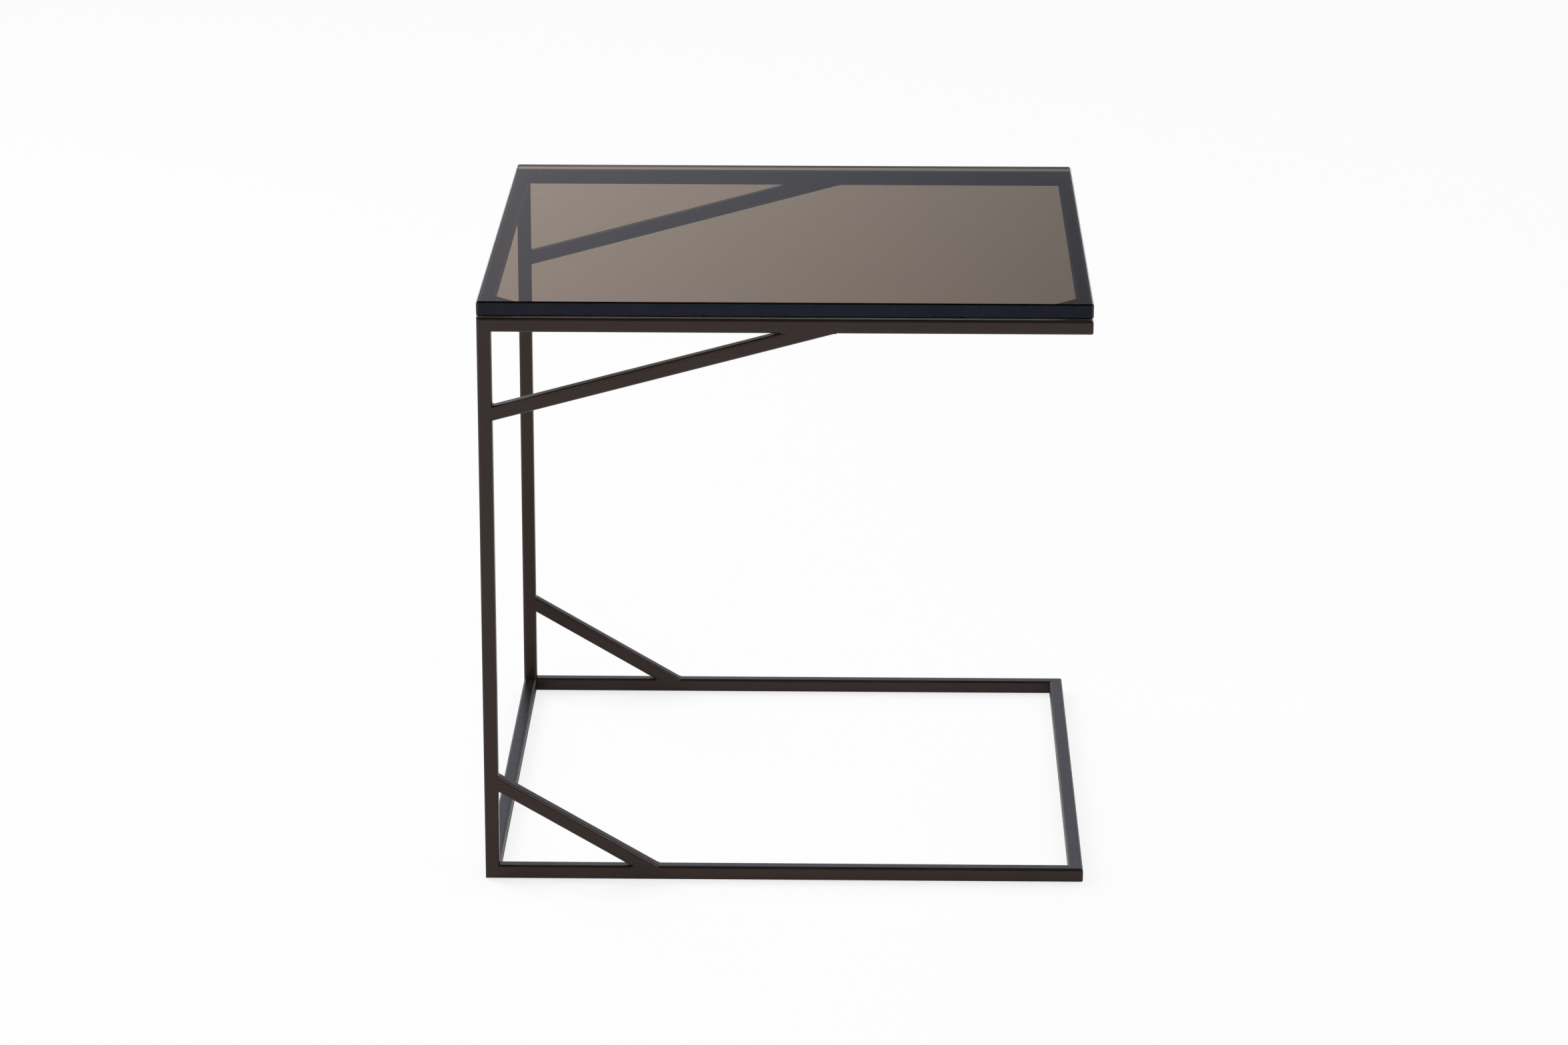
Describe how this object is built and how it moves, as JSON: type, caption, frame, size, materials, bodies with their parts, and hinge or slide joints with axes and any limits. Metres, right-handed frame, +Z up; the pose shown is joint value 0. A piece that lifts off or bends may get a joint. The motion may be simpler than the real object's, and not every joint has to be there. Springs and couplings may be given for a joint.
{
  "type": "c-shaped side table",
  "caption": "C-shaped side table: a welded frame of square steel tube with slanted braces, open at one end, carrying a loose smoked glass top.",
  "frame": {"origin": "on the floor, under the middle of the table", "axes": "+X from the posts to the open end of the C, +Y to the rear, +Z up"},
  "size_m": [0.508, 0.508, 0.508],
  "materials": {
    "frame_paint": "satin dark bronze powder coat",
    "smoked_glass": "polished bronze-grey glass",
    "bumper": "clear soft vinyl",
    "glide": "clear nylon"
  },
  "bodies": {
    "frame": {"front_post": "frame_paint", "rear_post": "frame_paint", "front_base_rail": "frame_paint", "rear_base_rail": "frame_paint", "left_base_rail": "frame_paint", "right_base_rail": "frame_paint", "front_top_rail": "frame_paint", "rear_top_rail": "frame_paint", "left_top_rail": "frame_paint", "right_top_rail": "frame_paint", "front_top_brace": "frame_paint", "rear_top_brace": "frame_paint", "front_base_brace": "frame_paint", "rear_base_brace": "frame_paint", "brace_welds": "frame_paint", "corner_plate_front_left": "frame_paint", "corner_plate_front_right": "frame_paint", "corner_plate_rear_right": "frame_paint", "corner_plate_rear_left": "frame_paint", "bumper_front_left": "bumper", "bumper_front_right": "bumper", "bumper_rear_right": "bumper", "bumper_rear_left": "bumper", "glide_front_left": "glide", "glide_front_right": "glide", "glide_rear_left": "glide", "glide_rear_right": "glide"},
    "glass": {"glass_top": "smoked_glass"}
  },
  "joints": [
    {"name": "glass_lift", "type": "slide", "parent": "frame", "child": "glass", "axis": [0, 0, 1], "range_m": [0, 0.12]}
  ]
}
